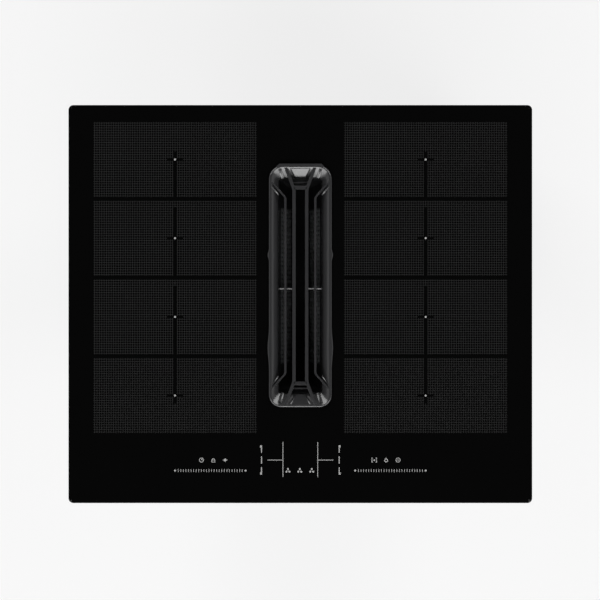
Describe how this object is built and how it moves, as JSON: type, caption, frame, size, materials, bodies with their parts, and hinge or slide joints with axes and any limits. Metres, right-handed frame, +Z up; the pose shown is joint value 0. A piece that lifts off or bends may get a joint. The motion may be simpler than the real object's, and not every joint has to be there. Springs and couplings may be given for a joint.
{
  "type": "downdraft induction cooktop",
  "caption": "Built-in glass induction cooktop with a central downdraft inlet grille, grease filter, overflow tank, fan and flat-duct outlet underneath.",
  "frame": {"origin": "centre of the glass outline, on the worktop's upper face", "axes": "+X to the right and +Y to the back, seen by a cook at the front; +Z up out of the glass"},
  "size_m": [0.6, 0.515, 0.2195],
  "materials": {
    "black_glass": "polished black glass-ceramic",
    "seal_foam": "closed-cell foam",
    "grille_plastic": "moulded, satin black",
    "filter_plastic": "moulded, satin black",
    "filter_metal": "perforated sheet",
    "grey_plastic": "moulded, fine texture",
    "tray_steel": "zinc-coated sheet",
    "litz_copper": "wound copper litz",
    "carrier_aluminium": "bare sheet",
    "mica_sheet": "pressed mica",
    "circuit_board": "solder mask",
    "white_plastic": "moulded",
    "black_plastic": "moulded",
    "motor_steel": "drawn steel",
    "seal_rubber": "silicone",
    "clamp_steel": "zinc-plated"
  },
  "bodies": {
    "hob": {"glass_top": "black_glass", "worktop_seal": "seal_foam", "shaft_gasket": "seal_foam", "inlet_shaft": "grey_plastic", "inlet_plate": "grey_plastic", "duct_spigot": "grey_plastic", "terminal_cover": "grey_plastic", "fan_control_box": "grey_plastic", "hob_tray": "tray_steel", "coil_left_1": "litz_copper", "coil_left_2": "litz_copper", "coil_left_3": "litz_copper", "coil_left_4": "litz_copper", "coil_right_1": "litz_copper", "coil_right_2": "litz_copper", "coil_right_3": "litz_copper", "coil_right_4": "litz_copper", "coil_carrier_left": "carrier_aluminium", "coil_carrier_right": "carrier_aluminium", "heatsink_left": "carrier_aluminium", "heatsink_right": "carrier_aluminium", "insulation_left": "mica_sheet", "insulation_right": "mica_sheet", "power_board_left": "circuit_board", "power_board_right": "circuit_board", "control_board": "circuit_board", "control_carrier": "white_plastic", "terminal_block": "white_plastic", "cooling_fan_frame_left": "black_plastic", "cooling_fan_frame_right": "black_plastic", "suction_box": "black_plastic", "fan_scroll": "black_plastic", "discharge_duct": "black_plastic", "air_box_cover": "black_plastic", "cable_gland": "black_plastic", "fan_motor": "motor_steel", "clamp_bracket_left_front": "clamp_steel", "clamp_screw_left_front": "clamp_steel", "clamp_bracket_left_back": "clamp_steel", "clamp_screw_left_back": "clamp_steel", "clamp_bracket_right_front": "clamp_steel", "clamp_screw_right_front": "clamp_steel", "clamp_bracket_right_back": "clamp_steel", "clamp_screw_right_back": "clamp_steel"},
    "grille": {"vent_grille": "grille_plastic"},
    "filter": {"filter_frame": "filter_plastic", "filter_mesh_left": "filter_metal", "filter_mesh_right": "filter_metal"},
    "tank": {"overflow_tank": "grey_plastic", "tank_seal": "seal_rubber"},
    "extractor_rotor": {"impeller_disc": "grey_plastic", "impeller_cage": "grey_plastic", "motor_shaft": "motor_steel", "impeller_nut": "motor_steel"},
    "cooler_left": {"cooling_rotor_left": "black_plastic"},
    "cooler_right": {"cooling_rotor_right": "black_plastic"}
  },
  "joints": [
    {"name": "grille_lift", "type": "slide", "parent": "hob", "child": "grille", "axis": [0, 0, 1], "range_m": [0, 0.3]},
    {"name": "filter_lift", "type": "slide", "parent": "hob", "child": "filter", "axis": [0, 0, 1], "range_m": [0, 0.18]},
    {"name": "tank_drop", "type": "slide", "parent": "hob", "child": "tank", "axis": [0, 0, -1], "range_m": [0, 0.1]},
    {"name": "extractor_spin", "type": "hinge", "parent": "hob", "child": "extractor_rotor", "pos_m": [0.1542, -0.01, -0.13], "axis": [0, 0, 1], "continuous": true},
    {"name": "cooler_left_spin", "type": "hinge", "parent": "hob", "child": "cooler_left", "pos_m": [-0.2308, -0.1958, -0.038], "axis": [0, 0, 1], "continuous": true},
    {"name": "cooler_right_spin", "type": "hinge", "parent": "hob", "child": "cooler_right", "pos_m": [0.2308, -0.1958, -0.038], "axis": [0, 0, 1], "continuous": true}
  ],
  "couplings": [
    {"joint": "filter_lift", "follows": "grille_lift", "ratio": 0.6}
  ]
}
